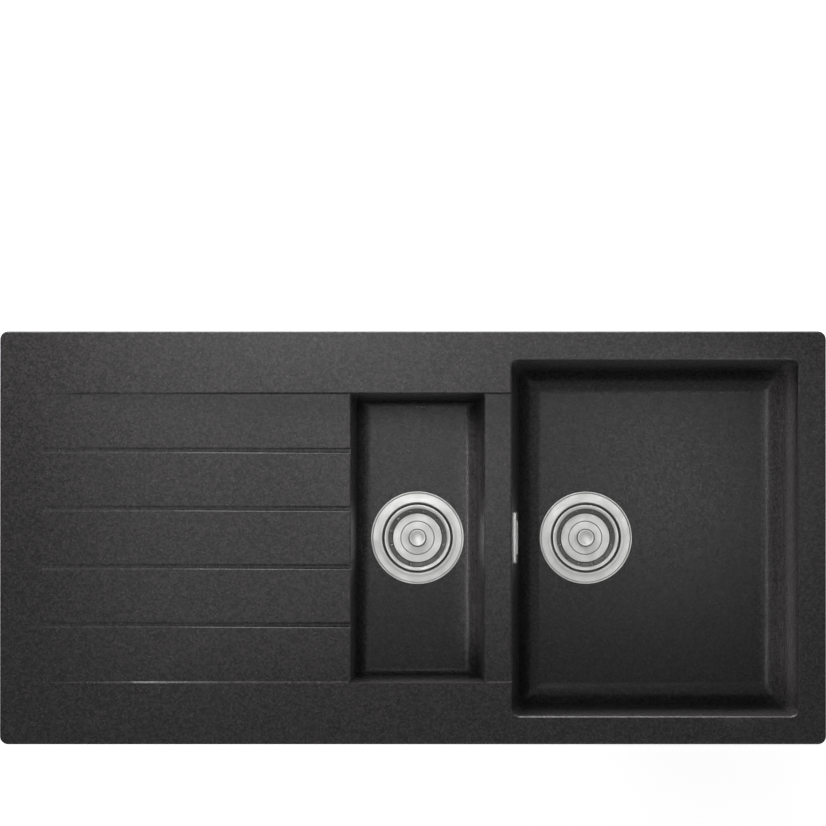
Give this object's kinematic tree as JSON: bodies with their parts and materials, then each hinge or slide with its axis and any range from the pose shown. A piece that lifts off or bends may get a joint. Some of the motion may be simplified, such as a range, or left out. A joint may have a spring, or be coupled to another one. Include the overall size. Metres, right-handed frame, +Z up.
{
  "type": "kitchen sink with drainboard",
  "caption": "Inset stone composite kitchen sink with a main bowl, a narrow half bowl and a grooved drainboard, with basket wastes, overflow and worktop clamps.",
  "frame": {"origin": "centre of the worktop cut-out, on the worktop's upper face", "axes": "+X from the drainboard to the main bowl, +Y to the tap ledge at the back, +Z up"},
  "size_m": [1, 0.5, 0.283],
  "materials": {
    "granite_composite": "dark speckled stone composite, satin",
    "stainless_steel": "satin stainless steel",
    "zinc_steel": "zinc plated steel",
    "black_rubber": "moulded rubber",
    "seal_foam": "closed-cell foam strip",
    "grey_plastic": "moulded polypropylene",
    "white_plastic": "moulded polypropylene"
  },
  "bodies": {
    "sink": {"sink_body": "granite_composite", "rim_seal": "seal_foam", "strainer_cups": "stainless_steel", "waste_gaskets": "black_rubber", "waste_screws": "stainless_steel", "main_waste_body": "white_plastic", "small_waste_body": "white_plastic", "overflow_cover": "stainless_steel", "overflow_screw": "stainless_steel", "overflow_gasket": "black_rubber", "overflow_elbow": "white_plastic", "overflow_hose": "white_plastic", "clamp_inserts": "grey_plastic", "clamp_screws": "zinc_steel"},
    "main_basket_set": {"main_basket": "stainless_steel", "main_basket_knob": "stainless_steel", "main_stopper_seal": "black_rubber"},
    "small_basket_set": {"small_basket": "stainless_steel", "small_basket_knob": "stainless_steel", "small_stopper_seal": "black_rubber"},
    "clamp_back_left_arm": {"clamp_back_left": "grey_plastic"},
    "clamp_back_right_arm": {"clamp_back_right": "grey_plastic"},
    "clamp_front_left_arm": {"clamp_front_left": "grey_plastic"},
    "clamp_front_right_arm": {"clamp_front_right": "grey_plastic"}
  },
  "joints": [
    {"name": "main_basket_lift", "type": "slide", "parent": "sink", "child": "main_basket_set", "axis": [0, 0, 1], "range_m": [0, 0.06]},
    {"name": "small_basket_lift", "type": "slide", "parent": "sink", "child": "small_basket_set", "axis": [0, 0, 1], "range_m": [0, 0.06]},
    {"name": "clamp_back_left_swing", "type": "hinge", "parent": "sink", "child": "clamp_back_left_arm", "pos_m": [-0.3, 0.23, -0.0292], "axis": [0, 0, 1], "range_deg": [0, 90]},
    {"name": "clamp_back_right_swing", "type": "hinge", "parent": "sink", "child": "clamp_back_right_arm", "pos_m": [0.3, 0.23, -0.0292], "axis": [0, 0, 1], "range_deg": [0, 90]},
    {"name": "clamp_front_left_swing", "type": "hinge", "parent": "sink", "child": "clamp_front_left_arm", "pos_m": [-0.3, -0.23, -0.0292], "axis": [0, 0, 1], "range_deg": [0, 90]},
    {"name": "clamp_front_right_swing", "type": "hinge", "parent": "sink", "child": "clamp_front_right_arm", "pos_m": [0.3, -0.23, -0.0292], "axis": [0, 0, 1], "range_deg": [0, 90]}
  ]
}
